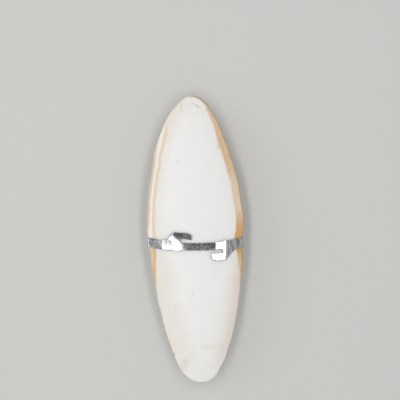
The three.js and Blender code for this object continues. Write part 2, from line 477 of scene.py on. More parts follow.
@dataclass
class Cuttlebone:
    """The bone itself: a granular hard back, a horny rim, and a chalky belly with its rows of fine layers."""

    form: BoneForm = field(default_factory=BoneForm)
    # The grid: rings, steps over half a ring, and how far they gather at the tips and the rim
    sections: int = 400
    across: int = 108
    tip_gather: float = 0.62
    rim_gather: float = 0.6
    # The outline's unevenness, read along one lane for each side, so that the sides differ
    lane: float = 40.0
    edge_waves: tuple[Wave, ...] = (Wave(31.0, 0.22, 11), Wave(7.5, 0.099, 12), Wave(2.6, 0.066, 13))
    tip_taper: float = 0.03
    # How the bone's middle wanders to the left
    rear_lean: Bell = Bell(0.65, 58.0, 38.0)
    front_lean: Bell = Bell(0.5, -98.0, 9.0)
    front_lean_from: Span = (-107.0, -99.0)
    # The horny rim's width, what it loses towards the rear tip, and where it starts in front
    margin_wide: float = 6.2
    margin_losses: tuple[tuple[float, Span], ...] = ((2.4, (0.62, 0.84)), (2.3, (0.82, 0.99)))
    margin_front: Span = (-0.42, 0.08)
    margin_bend: float = 0.8
    # The back's growth lines, grains and slow swell
    growth_squeeze: float = 1.35
    growth_spacing: float = 3.4
    growth_height: float = 0.05
    growth_drift: Wave = Wave(26.0, 1.2, 21)
    growth_fade: Wave = Wave(30.0, 0.4, 22)
    back_waves: tuple[Wave, ...] = (Wave(2.1, 0.05, 23), Wave(4.3, 0.035, 24), Wave(23.0, 0.14, 25))
    # Where the hard shield gives way to the sunken horny rim
    shield_edge: Span = (-0.8, 2.2)
    relief_from: float = 2.0
    rim_relief: float = 0.35
    rim_recess: float = 0.3
    recess_from: float = 1.6
    recess_full: float = 3.0
    # The stretch under the strip, where the outline is even
    quiet_at: float = -3.5
    quiet_reach: float = 9.0
    # The belly: the smooth front part's arched end, the furrow, the fork and its bow, the layers
    loculus_front: float = -18.0
    loculus_arch: float = 34.0
    loculus_bend: float = 2.2
    loculus_drift: Wave = Wave(14.0, 0.9, 31)
    loculus_lip: float = 0.6
    lip_length: float = 1.6
    furrow_depth: float = 0.7
    furrow_spread: float = 3.0
    furrow_start: float = 22.0
    fork_height: float = 0.9
    fork_at: float = 0.7
    fork_closing: float = 0.2
    fork_spread: float = 0.075
    fork_closes: Span = (0.55, 0.93)
    fork_rises: Span = (0.1, 0.72)
    fork_ends: Span = (0.94, 0.98)
    bow_at: float = 0.925
    bow_spread: float = 2.6
    bow_ends: Span = (0.5, 0.62)
    layers_end: Span = (0.5, 0.64)
    layer_spacing: float = 2.6
    layer_height: float = 0.12
    layer_drift: Wave = Wave(20.0, 1.5, 32)
    belly_waves: tuple[Wave, ...] = (Wave(17.0, 0.12, 33), Wave(3.2, 0.03, 34))
    # Where the belly's relief is calmed: under the strip, at the rim, on the lowest line
    strip_calm: Bell = Bell(0.9, -2.5, 7.5)
    rim_calm: Span = (0.3, 3.0)
    lowest_reach: float = 26.0
    lowest_across: Span = (0.3, 0.6)
    # The chips, with their places along as s
    notches: tuple[Notch, ...] = (
        Notch(along=-0.797, right=False, depth=0.8, spread=1.6),
        Notch(along=0.93, right=False, depth=0.3, spread=1.6),
        Notch(along=0.905, right=True, depth=0.3, spread=1.0),
        Notch(along=0.52, right=False, depth=0.45, spread=1.3),
        Notch(along=0.34, right=True, depth=0.4, spread=1.8),
        Notch(along=-0.9, right=True, depth=0.4, spread=1.4),
    )

    def margin_width(self, s: Array) -> Array:
        """Width of the horny rim on the back, in mm.

        It is even over most of the rear half, loses most of its width in smooth steps near the rear tip, and
        shrinks to nothing on the front half.
        """
        rear = self.margin_wide - sum(loss * ease(s, *span) for loss, span in self.margin_losses)
        return rear * ease(s, *self.margin_front) ** self.margin_bend

    def outline(self, s: Array, right: Array) -> Array:
        """Half width with the rim's unevenness: its waves, which are stilled under the strip, and the chips.

        Args:
            s: Place along the bone.
            right: True on the right-hand side.

        Returns:
            Half width in mm, never under 0.
        """
        y = s * self.form.length / 2
        lane = np.where(right, self.lane, -self.lane)
        quiet = 1.0 - hump(y, self.quiet_at, self.quiet_reach)
        uneven = sum(wave.at(y, lane) for wave in self.edge_waves)
        width = self.form.dented(s, right) + uneven * quiet * ease(1.0 - np.abs(s), 0.0, self.tip_taper)
        for notch in self.notches:
            here = hump(y, notch.along * self.form.length / 2, notch.spread)
            width = width - notch.depth * here * (right == notch.right)
        return np.maximum(width, 0.0)

    def lean_at(self, y: Array) -> Array:
        """How far the bone's middle wanders sideways: left along the rear half and at the front end."""
        return -self.rear_lean.at(y) - self.front_lean.at(y) * ease(y, *self.front_lean_from)

    def growth(self, x: Array, y: Array) -> Array:
        """Age of the bone at a point: the distance from the rear tip, with the way across counted longer."""
        behind = self.form.length / 2 - y
        return np.hypot(x * self.growth_squeeze, behind)

    def back_relief(self, s: Array, x: Array, y: Array, inside: Array) -> Array:
        """Fine height on the back: grains, faint growth lines, and the recessed horny rim.

        Args:
            s: Place along the bone.
            x: Across, in mm.
            y: Along, in mm.
            inside: Distance in from the outline, in mm.

        Returns:
            Height to add, in mm.
        """
        age = self.growth(x, y) + self.growth_drift.at(x, y)
        fade = 1.0 - self.growth_fade.height + self.growth_fade.at(x, y)
        lines = np.sin(2.0 * math.pi * age / self.growth_spacing) * fade
        relief = self.growth_height * lines + sum(wave.at(x, y) for wave in self.back_waves)
        margin = self.margin_width(s)
        shield = ease(inside - margin, *self.shield_edge)
        kept = (self.rim_relief + (1.0 - self.rim_relief) * shield) * ease(inside, 0.0, self.relief_from)
        sunk = ease(inside, 0.0, self.recess_from) * ease(margin, 0.0, self.recess_full)
        recess = self.rim_recess * (1.0 - shield) * sunk
        return relief * kept - recess

    @staticmethod
    def share_across(x: Array, width: Array) -> Array:
        """How far out from the middle a point lies, as a share of the half width."""
        return np.abs(x) / np.maximum(width, 1.0)

    def striated(self, x: Array, y: Array, width: Array) -> Array:
        """How far a belly point lies behind the smooth front part's arched edge, in mm."""
        edge = self.loculus_front + self.loculus_arch * self.share_across(x, width) ** self.loculus_bend
        return y - edge - self.loculus_drift.at(x, y)

    def belly_relief(self, s: Array, x: Array, y: Array, inside: Array, width: Array) -> Array:
        """Fine depth on the belly, positive out of the bone.

        The smooth front part ends in a low lip. Behind it lie the arched edges of the layers, a shallow
        furrow down the middle, and the raised fork whose two arms meet round the rear end. Nothing stands out
        on the lowest line, where the bone lies, and the relief is calmed under the strip and at the rim.

        Args:
            s: Place along the bone.
            x: Across, in mm.
            y: Along, in mm.
            inside: Distance in from the outline, in mm.
            width: Half width here, in mm.

        Returns:
            Depth to add, in mm.
        """
        behind = self.striated(x, y, width)
        zone = ease(behind, 0.0, self.lip_length)
        share = self.share_across(x, width)
        rows = np.sin(2.0 * math.pi * behind / self.layer_spacing + self.layer_drift.at(x, y))
        inner = 1.0 - ease(share, *self.layers_end)
        layers = (self.layer_height * rows - self.loculus_lip) * inner * zone
        furrow = self.furrow_depth * hump(x, 0.0, self.furrow_spread) * ease(behind, 0.0, self.furrow_start)
        arms_at = self.fork_at - self.fork_closing * ease(s, *self.fork_closes)
        arms = hump(share, arms_at, self.fork_spread) * ease(s, *self.fork_rises)
        bow = hump(y, self.bow_at * self.form.length / 2, self.bow_spread)
        bow = bow * (1.0 - ease(share, *self.bow_ends))
        fork = self.fork_height * np.maximum(arms, bow) * (1.0 - ease(s, *self.fork_ends))
        relief = layers - furrow + fork + sum(wave.at(x, y) for wave in self.belly_waves)
        keel = self.form.keel_at * self.form.length / 2
        lowest = hump(y, keel, self.lowest_reach) * (1.0 - ease(share, *self.lowest_across))
        calm = (1.0 - self.strip_calm.at(y)) * ease(inside, *self.rim_calm)
        return np.where(relief > 0, relief * (1.0 - lowest), relief) * calm

    def surface(self) -> tuple[Array, Array, dict[str, Array]]:
        """The closed surface of rings round the bone, between a pole at each tip.

        Ring i stands at s = (1 - g)(2t - 1) - g cos(pi t), which gathers the rings at the tips. Round the
        ring the share u of the half width runs over the back and returns under the belly by the same rule.

        Returns:
            Corners in mm, faces, and the values kept at the corners.
        """
        t = np.linspace(0.0, 1.0, self.sections + 1)[1:-1]
        s_line = (1.0 - self.tip_gather) * (2.0 * t - 1.0) - self.tip_gather * np.cos(math.pi * t)
        v = np.linspace(0.0, 1.0, self.across + 1)
        half_ring = (1.0 - self.rim_gather) * (1.0 - 2.0 * v) + self.rim_gather * np.cos(math.pi * v)
        u_line = np.concatenate([half_ring, half_ring[-2:0:-1]])
        back_line = np.concatenate([np.ones(self.across + 1, bool), np.zeros(self.across - 1, bool)])
        s, u = np.meshgrid(s_line, u_line, indexing="ij")
        back = np.broadcast_to(back_line, s.shape)
        y = s * self.form.length / 2
        width = self.outline(s, u > 0)
        x = width * u
        inside = self.inside_distance(s, x, width)
        bent = x + self.lean_at(y)
        high = self.form.back_height(s, u, inside) + self.back_relief(s, x, y, inside)
        low = self.form.belly_height(s, u, inside) - self.belly_relief(s, x, y, inside, width)
        z = np.where(back, high, np.maximum(low, 0.0))
        ends = np.array([-1.0, 1.0])
        tips = np.stack([0.0 * ends, ends * self.form.length / 2, self.form.rim_at(ends)], axis=-1)
        points = np.concatenate([np.stack([bent, y, z], axis=-1).reshape(-1, 3), tips])
        # The last two values of each are the front tip's and the rear tip's.
        keep = {
            "back": np.append(np.where(back, Side.BACK.value, Side.BELLY.value).ravel(), [0.5, 0.5]),
            "inside": np.append(inside.ravel(), [0.0, 0.0]),
            "margin": np.append((inside - self.margin_width(s)).ravel(), [0.0, -1.0]),
            "striated": np.append(self.striated(x, y, width).ravel(), [-90.0, 90.0]),
        }
        return points, self.faces(*s.shape), keep

    def inside_distance(self, s: Array, x: Array, width: Array) -> Array:
        """Distance in from the outline: sideways, over the root of 1 + slope^2, or from the tip if nearer.

        Args:
            s: Place along the bone.
            x: Across, in mm.
            width: Half width here, in mm.

        Returns:
            Distance in mm.
        """
        slope = np.gradient(width, axis=0) / np.gradient(s * self.form.length / 2, axis=0)
        sideways = (width - np.abs(x)) / np.sqrt(1.0 + slope**2)
        return np.minimum(sideways, (1.0 - np.abs(s)) * self.form.length / 2)

    @staticmethod
    def faces(rings: int, around: int) -> Array:
        """Faces between neighbouring rings, and the fans that close both tips.

        Args:
            rings: Number of rings.
            around: Corners in each ring.

        Returns:
            Rows of four corner numbers; a fan's rows repeat the tip.
        """
        here = np.arange(rings * around).reshape(rings, around)
        beside = np.roll(here, -1, axis=1)
        quads = np.stack([here[:-1], here[1:], beside[1:], beside[:-1]], axis=-1).reshape(-1, 4)
        front, rear = rings * around, rings * around + 1
        first = np.stack([here[0], beside[0], np.full(around, front), np.full(around, front)], axis=-1)
        last = np.stack([beside[-1], here[-1], np.full(around, rear), np.full(around, rear)], axis=-1)
        return np.concatenate([quads, first, last])

    def build(self) -> bpy.types.Object:
        """Makes the piece, dresses it and hands it to the frame.

        Returns:
            The piece.
        """
        points, faces, keep = self.surface()
        piece = make_piece("bone", points, faces, keep)
        piece.data.materials.append(ChalkFinish().material())
        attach(piece, "root")
        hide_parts("cuttlebone")
        return piece


@dataclass(frozen=True)
class BoneWires:
    """What the bone's colours are worked out from.

    Distances are in mm. The noises cloud and fine lie about 0.5, and the noises wander and rag about 0.
    """

    place: Wire
    x: Wire
    y: Wire
    left: Wire
    right: Wire
    inside: Wire
    margin: Wire
    behind: Wire
    cloud: Wire
    fine: Wire
    wander: Wire
    rag: Wire

    @classmethod
    def of(cls, g: Graph) -> "BoneWires":
        """Adds the nodes that read the piece's coordinates and kept values, and the noises.

        Args:
            g: The material's tree.

        Returns:
            The wires.
        """
        place = g.millimetres()
        x = g.axis(place, "X")
        right = g.step(x, -6.0, 6.0)
        return cls(
            place=place,
            x=x,
            y=g.axis(place, "Y"),
            left=1.0 - right,
            right=right,
            inside=g.attribute("inside"),
            margin=g.attribute("margin"),
            behind=g.attribute("striated"),
            cloud=g.noise(place, 0.05, 2.0),
            fine=g.noise(place, 1.4, 4.0, 0.62),
            wander=g.noise(place, 0.11, 3.0) - 0.5,
            rag=g.noise(place, 0.7, 3.0) - 0.5,
        )


@dataclass(frozen=True)
class ChalkFinish:
    """Dry, porous white bone with a tan horny rim.

    A span named "in" is in mm in from the outline or the horn's inner edge; the others are in mm along.
    """

    white: Colour = linear(244, 243, 241)
    cream: Colour = linear(236, 228, 216)
    blush: Colour = linear(230, 217, 206)
    # Painted highlight: the near-white band laid along the left side's horn rim.
    painted_rim_highlight: Colour = linear(254, 246, 234)
    pale_horn: Colour = linear(233, 215, 194)
    amber_horn: Colour = linear(214, 168, 104)
    # Painted shade: the left rim's outer edge, darker where it turns down, over the tan of the horn.
    painted_shade_horn: Colour = linear(212, 195, 174)
    brown_edge: Colour = linear(178, 146, 106)
    belly_white: Colour = linear(240, 237, 230)
    belly_cream: Colour = linear(222, 211, 192)
    speckle: float = 0.1
    bump: float = 0.35
    bump_depth: float = 0.0002
    gloss: float = 0.3
    dry_rough: float = 0.82
    horn_shine: float = 0.3
    row_spacing: float = 1.1
    front_half: Span = (-22.0, -2.0)
    cream_in: Span = (3.0, 15.0)
    cream_from: Span = (-103.0, -82.0)
    blush_in: Span = (0.5, 8.5)
    blush_from: Span = (-98.0, -72.0)
    tip_in: Span = (0.5, 1.4)
    tip_from: Span = (97.0, 101.0)
    tip_right: Span = (-1.0, 3.0)
    horn_in: Span = (-0.9, 0.5)
    horn_from: Span = (-42.0, -24.0)
    horn_thins: Span = (78.0, 92.0)
    horn_front: Span = (-8.0, 1.0)
    amber_from: Span = (-26.0, -6.0)
    amber_to: Span = (6.0, 20.0)
    paler_from: Span = (12.0, 24.0)
    paler_to: Span = (38.0, 52.0)
    # Where the painted highlight band on the left horn fades, in from the horn's inner edge.
    highlight_band_in: Span = (-3.4, -1.9)
    # Where the painted shade on the left rim's outer edge lies: in from the outline, then along.
    painted_shade_in: Span = (1.5, 2.6)
    painted_shade_from: Span = (0.0, 20.0)
    painted_shade_to: Span = (56.0, 80.0)
    lip_in: Span = (0.2, 1.6)
    layers_from: Span = (0.0, 3.0)
    belly_horn_in: Span = (1.5, 4.5)
    belly_horn_from: Span = (-10.0, 20.0)
    stains: tuple[Stain, ...] = (
        Stain(4.4, 99.0, 4.4, 0.9, -37.0, linear(205, 176, 144), 0.7),
        Stain(0.4, 101.3, 1.6, 0.7, 75.0, linear(205, 176, 144), 0.7),
        Stain(-8.0, 100.6, 5.2, 0.5, 88.0, linear(190, 158, 124), 0.7),
        Stain(2.2, 93.9, 1.8, 0.6, 4.0, linear(206, 204, 198), 0.7),
        Stain(8.5, 93.3, 1.5, 0.6, -15.0, linear(206, 204, 198), 0.7),
        Stain(-11.7, 57.8, 4.0, 2.2, 30.0, linear(224, 223, 219), 0.35),
        Stain(18.5, 68.0, 1.0, 0.9, 0.0, linear(186, 178, 164), 0.6),
        Stain(-4.1, -40.3, 0.8, 0.6, 20.0, linear(176, 168, 156), 0.6),
        Stain(-17.1, -49.3, 0.9, 0.6, 70.0, linear(176, 168, 156), 0.6),
        Stain(5.3, -80.3, 7.0, 3.4, 0.0, linear(222, 221, 217), 0.4),
        Stain(-13.0, -94.0, 8.0, 4.8, 62.0, linear(224, 204, 186), 0.42),
    )

    def material(self) -> bpy.types.Material:
        """Builds the node tree: back and belly colours, the rim's horn, the stains, and a fine grain.

        Returns:
            The material.
        """
        made = bpy.data.materials.new("chalky bone")
        g = Graph(made)
        w = BoneWires.of(g)
        back = g.step(g.attribute("back"), 0.35, 0.65)
        colour = g.blend(back, self.belly(g, w), self.back(g, w))
        speckle = g.step(g.noise(w.place, 0.9, 2.0), 0.66, 0.8)
        colour = g.blend(speckle * self.speckle, colour, self.cream)
        height = w.fine + 0.5 * g.noise(w.place, 4.5, 2.0)
        horn = (1.0 - g.step(w.margin, -0.8, 0.6)) * back
        sockets = {
            "Base Color": colour,
            "Roughness": self.dry_rough - self.horn_shine * horn + 0.16 * (w.fine - 0.5),
            "Normal": g.bump(height, self.bump, self.bump_depth),
            "Specular IOR Level": self.gloss,
        }
        g.finish(sockets)
        return made

    def back(self, g: Graph, w: BoneWires) -> Wire:
        """Colour of the back: white, creamier towards the sides, horn along the rim, and the stains.

        Args:
            g: The material's tree.
            w: What the colours are worked out from.

        Returns:
            The colour.
        """
        ahead = 1.0 - g.step(w.y, *self.front_half)
        near = 1.0 - g.step(w.inside + 7.0 * w.wander - 6.0 * ahead * w.left, *self.cream_in)
        sides = w.left * (0.9 - 0.15 * ahead) + w.right * (0.2 + 0.6 * ahead)
        sides = sides * (0.25 + 0.75 * g.step(w.y, *self.cream_from))
        colour = g.blend(near * sides * (0.5 + 0.6 * w.cloud), self.white, self.cream)
        front = ahead * g.step(w.y, *self.blush_from) * (0.6 + 0.3 * w.right)
        blush = g.blend(w.right, self.cream, self.blush)
        tinted = front * (1.0 - g.step(w.inside + 5.0 * w.wander, *self.blush_in))
        colour = g.blend(tinted * 0.9, colour, blush)
        colour = self.horned(g, w, colour)
        tip = (1.0 - g.step(w.inside + 0.8 * w.rag, *self.tip_in)) * g.step(w.y, *self.tip_from)
        darker = 0.35 + 0.55 * g.step(w.x, *self.tip_right)
        colour = g.blend(tip * darker * g.step(w.fine, 0.3, 0.55), colour, self.brown_edge)
        for stain in self.stains:
            colour = self.stained(g, w, stain, colour)
        return colour

    def horned(self, g: Graph, w: BoneWires, bare: Wire) -> Wire:
        """Lays the rim's horn over the bare back.

        The right side is amber, paler for a stretch behind the strip. The left side has a painted highlight,
        a near-white band along the horn, between a painted shade on its outer edge and a tan inner band.

        Args:
            g: The material's tree.
            w: What the colours are worked out from.
            bare: Colour of the back without its horn.

        Returns:
            The colour with the horn.
        """
        ahead = 1.0 - g.step(w.y, *self.horn_front)
        middle = g.between(w.y, self.amber_from, self.amber_to)
        paler = g.between(w.y, self.paler_from, self.paler_to)
        streak = g.noise(g.stretched(w.place, (1.0, 0.16, 1.0)), 0.9, 3.0) - 0.5
        amber = w.right * (0.5 + 0.45 * middle - 0.4 * paler) + w.left * (0.1 + 0.75 * ahead)
        amber = amber + 0.8 * streak + 0.7 * w.wander
        horn = g.blend(amber, self.pale_horn, self.amber_horn)
        # Painted highlight: a near-white band along the outer part of the left side's horn.
        outer = 1.0 - g.step(w.margin + 0.6 * w.rag, *self.highlight_band_in)
        horn = g.blend(outer * w.left * (1.0 - 0.8 * ahead), horn, self.painted_rim_highlight)
        # Painted shade on the left side's outer edge, where the rim turns down, laid over the tan horn.
        shaded = (1.0 - g.step(w.inside + 0.9 * w.rag + 1.2 * w.wander, *self.painted_shade_in)) * w.left
        shaded = shaded * g.between(w.y, self.painted_shade_from, self.painted_shade_to)
        horn = g.blend(shaded * 0.9, horn, self.painted_shade_horn)
        lip = 1.0 - g.step(w.inside + 0.9 * w.rag, *self.lip_in)
        horn = g.blend(lip * (0.15 + 0.6 * w.right), horn, self.brown_edge)
        reach = 1.0 - g.step(w.margin + 1.1 * w.wander + 0.8 * w.rag, *self.horn_in)
        there = g.step(w.y, *self.horn_from) * (1.0 - w.left * g.step(w.y, *self.horn_thins) * 0.75)
        return g.blend(reach * there * (0.85 + 0.15 * w.right), bare, horn)

    @staticmethod
    def stained(g: Graph, w: BoneWires, stain: Stain, colour: Wire) -> Wire:
        """Lays one stain on a colour: it fades with the distance out, in half lengths and half widths.

        Args:
            g: The material's tree.
            w: What the colours are worked out from.
            stain: The stain.
            colour: The colour under it.

        Returns:
            The colour with the stain.
        """
        ends = {
            "Vector": w.place,
            "Location": (stain.x, stain.y, 0.0),
            "Rotation": (0.0, 0.0, math.radians(stain.turn)),
            "Scale": (stain.half_length, stain.half_width, 1000.0),
        }
        local = g.node("ShaderNodeMapping", {"vector_type": "TEXTURE"}, ends)
        far = g.node("ShaderNodeVectorMath", {"operation": "LENGTH"}, {0: local}, "Value")
        return g.blend((1.0 - g.step(far + 0.8 * w.rag, 0.1, 1.1)) * stain.strength, colour, stain.colour)

    def belly(self, g: Graph, w: BoneWires) -> Wire:
        """Colour of the belly: chalk white, with the layers' fine edges behind the smooth front part.

        Args:
            g: The material's tree.
            w: What the colours are worked out from.

        Returns:
            The colour.
        """
        fray = g.noise(g.stretched(w.place, (0.5, 1.6, 1.0)), 0.6, 3.0)
        rows = g.math("SINE", w.behind * (2.0 * math.pi / self.row_spacing) + 5.0 * fray)
        layers = g.step(w.behind, *self.layers_from) * (0.5 + 0.5 * rows)
        colour = g.blend(0.2 + 0.3 * w.cloud, self.belly_white, self.belly_cream)
        colour = g.blend(layers * 0.45, colour, self.belly_cream)
        horn = 1.0 - g.step(w.inside + 2.0 * (fray - 0.5), *self.belly_horn_in)
        horn = horn * g.step(w.behind, *self.belly_horn_from)
        return g.blend(horn * 0.8, colour, g.blend(0.4 * w.cloud, self.pale_horn, self.amber_horn))


# ---------------------------------------------------------------------------------------------------------
# The holder
# ---------------------------------------------------------------------------------------------------------


@dataclass(frozen=True)
class HookSize:
    """How far a hook stands out, and where its shoulder and its sloping foot lie, in mm."""

    top: float
    shoulder: float
    foot: float


@dataclass
class Holder:
    """One strip of bright sheet metal round the bone, with two hooks cut out of its front run."""

    bone: BoneForm = field(default_factory=BoneForm)
    # The sheet, and the strip's run over the bone
    sheet: float = 0.4
    gap: float = 0.3
    strip_width: float = 7.2
    strip_at: float = -2.3
    strip_bow: float = 3.1
    strip_turn: float = -1.87
    # The flat underside, the tucked tail, and the plate's end that lies on it
    flat_half: float = 10.0
    flat_ease: float = 1.0
    tail_end: float = -16.0
    plate_end: float = -25.9
    tab_gap: float = 0.4
    # The plate's folds: their places, how softly the left one turns, and how it slants
    left_fold: float = -11.0
    left_ease: float = 5.0
    fold_slant: float = 1.2
    slant_from: float = 1.0
    slant_ease: float = 2.0
    right_fold: float = 14.0
    dip_at: float = 22.0
    dip_drop: float = 1.5
    neck_lift: float = 0.4
    join_at: float = 28.0
    # The flat pattern: the neck, the hooks and their slots
    plate_centre: float = 3.8
    neck_width: float = 5.8
    neck_from: float = 16.6
    left_hook: HookSize = HookSize(top=10.2, shoulder=20.6, foot=26.9)
    right_hook: HookSize = HookSize(top=10.9, shoulder=17.6, foot=25.4)
    shoulder_round: float = 1.0
    neck_ease: float = 1.5
    hook_tip: float = 6.9
    tip_round: float = 2.2
    tip_pull: float = 0.4
    throat_pull: float = 4.5
    brow_start: float = 4.2
    finger_root: float = 0.6
    reach: float = 45.0
    pattern_end: float = 38.0
    slot_end: float = 15.6
    slot_width: float = 2.6
    slot_mouth: float = 2.0
    # Steps of the curves, of the taut line and of the sheet's grid
    slot_steps: int = 17
    corner_steps: int = 9
    section_steps: int = 181
    turn_steps: int = 2161
    cell: float = 0.3
    fine_step: float = 0.05
    fold_radius: float = 1.1
    # How the grid's edge is found
    probe: float = 0.01
    least_slope: float = 0.5

    def taut_line(self) -> Array:
        """The strip's inner side round the bone, clockwise from the top, as x and z.

        In each direction it is the bone's furthest point, moved out by the gap: a taut line round the bone's
        sections at both edges of the strip. Points on the front plate's stretch and past the tail's end are
        left out, and the underside is flat.

        Returns:
            Points, in mm.
        """
        u = np.cos(np.linspace(0.0, math.pi, self.section_steps))
        rows = []
        half_strip = self.strip_width / 2
        for y in (self.strip_at - self.strip_bow - half_strip, self.strip_at + half_strip):
            s = np.full(u.shape, 2.0 * y / self.bone.length)
            width = self.bone.dented(s, u > 0)
            x = width * u
            inside = width - np.abs(x)
            rows.append(np.stack([x, self.bone.back_height(s, u, inside)], axis=-1))
            rows.append(np.stack([x, self.bone.belly_height(s, u, inside)], axis=-1))
        section = np.concatenate(rows)
        turn = np.linspace(0.0, 2.0 * math.pi, self.turn_steps)
        out = np.stack([np.sin(turn), np.cos(turn)], axis=-1)
        line = section[np.argmax(out @ section.T, axis=1)] + self.gap * out
        over = line[:, 1] > self.bone.rim_height
        kept = ~over | np.where(turn < math.pi, line[:, 0] > self.join_at, line[:, 0] < self.tail_end)
        kept &= over | (np.abs(line[:, 0]) > self.flat_half + self.flat_ease)
        line, turn = line[kept], turn[kept]
        half = int(np.searchsorted(turn, math.pi))
        flat = np.array([[self.flat_half, self.sheet], [-self.flat_half, self.sheet]])
        return np.concatenate([line[:half], flat, line[half:]])

    def plate_line(self) -> Array:
        """The strip's inner side along the front plate: left tab on the tail, flat neck, right tab.

        Returns:
            Points as x and z, in mm, from the left tab's end to the right tab's dip.
        """
        s, inside = np.array(2.0 * self.strip_at / self.bone.length), np.array(self.bone.rim_thickness)
        back = float(self.bone.back_height(s, self.plate_end / self.bone.width_at(s), inside))
        top = float(self.bone.back_height(s, np.array(0.0), inside)) + self.gap + self.neck_lift
        end = (self.plate_end, back + self.gap + self.sheet + self.tab_gap)
        share = self.left_ease / (self.left_fold - self.plate_end)
        start = (self.left_fold - self.left_ease, top + (end[1] - top) * share)
        eased = self.bend(start, (self.left_fold, top), (self.left_fold + self.left_ease, top))
        rest = [(self.right_fold, top), (self.dip_at, top - self.dip_drop)]
        return np.concatenate([np.array([end, start]), eased, np.array(rest)])

    def middle_line(self) -> tuple[Array, Array, Array]:
        """The sheet's middle along the strip, at even steps of one cell.

        The plate's and the wrap's lines run on from each other and are stepped finely, and a moving mean
        rounds their folds. Outward is to the left of the way along.

        Returns:
            Points, their outward normals, and the distance along.
        """
        line = np.concatenate([self.plate_line(), self.taut_line()])
        fine = self.stepped(line, self.fine_step)
        window = int(self.fold_radius / self.fine_step) | 1
        half = window // 2
        before = 2.0 * fine[0] - fine[half:0:-1]
        after = 2.0 * fine[-1] - fine[-2 : -half - 2 : -1]
        padded = np.concatenate([before, fine, after])
        mean = np.ones(window) / window
        smooth = np.stack([np.convolve(padded[:, k], mean, "valid") for k in (0, 1)], axis=-1)
        inner = self.stepped(smooth, self.cell)
        along = np.gradient(inner, axis=0)
        along /= np.linalg.norm(along, axis=1, keepdims=True)
        out = np.stack([-along[:, 1], along[:, 0]], axis=-1)
        far = np.arange(len(inner)) * self.cell
        return inner + out * self.sheet / 2, out, far

    @staticmethod
    def stepped(line: Array, step: float) -> Array:
        """A line's points at even steps of about that length along it.

        Args:
            line: Points of the line.
            step: Length of a step, in mm.

        Returns:
            The new points.
        """
        far = np.concatenate([[0.0], np.cumsum(np.linalg.norm(np.diff(line, axis=0), axis=1))])
        at = np.linspace(0.0, far[-1], int(round(far[-1] / step)) + 1)
        return np.stack([np.interp(at, far, line[:, k]) for k in (0, 1)], axis=-1)

    def outline(self) -> Array:
        """The flat pattern's outline about the point that the hooks turn about: right hook, then left."""
        return np.concatenate([self.side(self.right_hook), -self.side(self.left_hook)])

    def side(self, hook: HookSize) -> Array:
        """One long side of the pattern, with the hook on its right: the neck's edge, the slot, the hook.

        Args:
            hook: The hook's own sizes.

        Returns:
            Points from left to right, in mm from the hooks' turning point.
        """
        edge, neck = -self.strip_width / 2, -self.neck_width / 2
        finger, lip = neck - self.slot_width, neck - self.slot_mouth
        top, tip = -hook.top, self.hook_tip
        radius = self.slot_width / 2
        arc = math.pi / 2 - np.linspace(0.0, math.pi, self.slot_steps)
        centre = (self.slot_end - radius, neck - radius)
        slot = np.stack([np.cos(arc), np.sin(arc)], axis=-1) * radius + centre
        start, ease_out = -self.neck_from, self.neck_ease
        throat, nose = (tip + self.tip_round, lip), (tip, lip - self.tip_round)
        brow = (hook.shoulder - self.shoulder_round, top)
        brim = (hook.shoulder + self.shoulder_round, top + self.shoulder_round)
        return np.concatenate(
            [
                np.array([(-self.reach, edge), (start, edge)]),
                self.bend((start, edge), (start + ease_out / 2, edge), (start + ease_out, neck)),
                slot,
                self.bend(slot[-1], (tip + self.throat_pull, finger), throat),
                self.bend(throat, (tip, lip + self.tip_pull), nose),
                self.bend(nose, (tip, top + self.tip_pull), (tip + self.brow_start, top)),
                np.array([brow]),
                self.bend(brow, (hook.shoulder, top), brim),
                np.array([(hook.foot, edge), (self.reach, edge)]),
            ]
        )

    def bend(self, start: Array | Span, pull: Array | Span, end: Array | Span) -> Array:
        """A rounded corner without its start: (1-t)^2 start + 2t(1-t) pull + t^2 end.

        Args:
            start: Where it starts.
            pull: The sharp corner that it rounds.
            end: Where it ends.

        Returns:
            Points after the start.
        """
        t = np.linspace(0.0, 1.0, self.corner_steps)[1:, None]
        return (1 - t) ** 2 * np.array(start) + 2 * t * (1 - t) * np.array(pull) + t**2 * np.array(end)

    def pattern_distance(self, x: Array, t: Array) -> Array:
        """Distance to the flat pattern's outline, negative on the metal.

        The nearest point over all the outline's straight pieces, with the sign from the number of pieces that
        a line to the right crosses.

        Args:
            x: Across the bone from the hooks' turning point, in mm.
            t: Across the strip, in mm.

        Returns:
            Distance in mm, the shape of x.
        """
        start = self.outline()
        end = np.roll(start, -1, axis=0)
        step = end - start
        here = np.stack([x.ravel(), t.ravel()], axis=-1)
        away = here[:, None, :] - start[None]
        share = np.clip((away * step).sum(-1) / np.maximum((step * step).sum(-1), TINY), 0.0, 1.0)
        near = np.linalg.norm(away - share[..., None] * step, axis=-1).min(axis=1)
        spans = (start[None, :, 1] > here[:, None, 1]) != (end[None, :, 1] > here[:, None, 1])
        rise = np.where(np.abs(step[:, 1]) < TINY, TINY, step[:, 1])
        cross = start[:, 0] + (here[:, 1:] - start[:, 1]) * step[:, 0] / rise
        inside = (spans & (here[:, :1] < cross)).sum(axis=1) % 2 == 1
        return np.where(inside, -near, near).reshape(x.shape)

    def distance(self, far: Array, t: Array, flat_x: Array, length: float) -> Array:
        """Distance to the strip's edge: the pattern's, and the strip's own ends.

        Args:
            far: Distance along the strip, in mm.
            t: Distance across it, in mm.
            flat_x: Place across the bone at even steps along the strip.
            length: Length of the strip, in mm.

        Returns:
            Distance in mm, negative on the metal.
        """
        x = np.interp(far, np.linspace(0.0, length, len(flat_x)), flat_x)
        edge = self.pattern_distance(np.minimum(x - self.plate_centre, self.pattern_end), t)
        return np.maximum(edge, np.maximum(-far, far - length))

